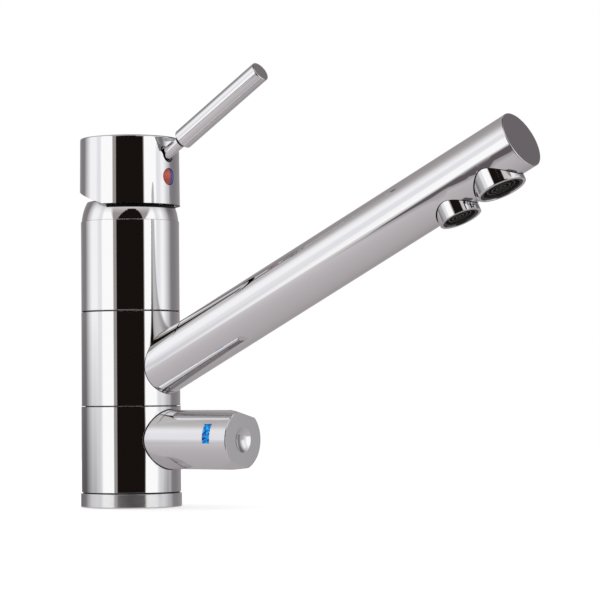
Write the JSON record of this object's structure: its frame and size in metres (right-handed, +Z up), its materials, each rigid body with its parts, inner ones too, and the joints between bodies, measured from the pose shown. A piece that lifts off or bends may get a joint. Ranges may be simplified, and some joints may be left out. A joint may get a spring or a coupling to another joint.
{
  "type": "three way filtered water tap",
  "caption": "Column mixer tap with an upward slanting spout that swivels, a mixing lever on top and a front knob for filtered water, which has an outlet of its own.",
  "frame": {"origin": "centre of the base's underside, on the column's axis, where the tap stands on the sink", "axes": "+Z up along the column, +X to the front along the spout, the lever and the filter knob; hot is on -Y, the left hand of someone who stands in front, and cold on +Y"},
  "size_m": [0.2591, 0.0508, 0.217],
  "materials": {
    "chrome": "mirror polished chrome plate",
    "brass": "turned",
    "steel": "turned stainless steel",
    "rubber": "matt",
    "ceramic": "lapped",
    "white_plastic": "moulded",
    "cartridge_plastic": "moulded",
    "carrier_plastic": "moulded",
    "tube_plastic": "extruded",
    "aerator_plastic": "moulded",
    "red_enamel": "glossy",
    "blue_enamel": "glossy",
    "knob_enamel": "glossy"
  },
  "bodies": {
    "root": {"base_ring": "chrome", "base_gasket": "rubber", "valve_body": "chrome", "lower_slide_ring": "white_plastic", "upper_slide_ring": "white_plastic", "barrel_seals": "rubber", "upper_body": "chrome", "dome_cover": "chrome", "cartridge_nut": "brass", "cartridge_housing": "cartridge_plastic", "cartridge_base": "cartridge_plastic", "cartridge_seals": "rubber", "fixed_disc": "ceramic", "filter_valve_body": "brass", "filter_valve_seal": "rubber", "filter_seat_ring": "rubber", "filter_fixed_disc": "ceramic"},
    "spout": {"spout_barrel": "chrome", "spout_tube": "chrome", "spout_end_cap": "chrome", "filter_tube": "tube_plastic", "main_collar": "chrome", "main_seal": "rubber", "main_restrictor": "white_plastic", "main_aerator": "aerator_plastic", "filter_collar": "chrome", "filter_collar_seal": "rubber", "filter_restrictor": "white_plastic", "filter_aerator": "aerator_plastic"},
    "turret": {"cartridge_carrier": "carrier_plastic", "pivot_pin": "steel"},
    "disc": {"moving_disc": "ceramic", "disc_driver": "carrier_plastic"},
    "lever": {"lever_stem": "steel", "lever_cap": "chrome", "lever_neck": "chrome", "lever_grip": "chrome", "cap_grub_screw": "steel", "hot_mark": "red_enamel", "cold_mark": "blue_enamel"},
    "knob": {"filter_knob": "chrome", "filter_knob_insert": "white_plastic", "filter_spindle": "steel", "filter_moving_disc": "ceramic", "filter_mark": "knob_enamel", "spindle_seal": "rubber", "spindle_clip": "steel"}
  },
  "joints": [
    {"name": "spout_swivel", "type": "hinge", "parent": "root", "child": "spout", "pos_m": [0, 0, 0.074], "axis": [0, 0, 1], "continuous": true},
    {"name": "mix_turn", "type": "hinge", "parent": "root", "child": "turret", "pos_m": [0, 0, 0.145], "axis": [0, 0, 1], "range_deg": [-45, 45]},
    {"name": "lever_lift", "type": "hinge", "parent": "turret", "child": "lever", "pos_m": [0, 0, 0.145], "axis": [0, -1, 0], "range_deg": [0, 18]},
    {"name": "disc_slide", "type": "slide", "parent": "turret", "child": "disc", "axis": [1, 0, 0], "range_m": [0, 0.0029]},
    {"name": "filter_turn", "type": "hinge", "parent": "root", "child": "knob", "pos_m": [0.02, 0, 0.0336], "axis": [1, 0, 0], "range_deg": [0, 90]}
  ],
  "couplings": [
    {"joint": "disc_slide", "follows": "lever_lift", "m_per_rad": 0.009}
  ]
}
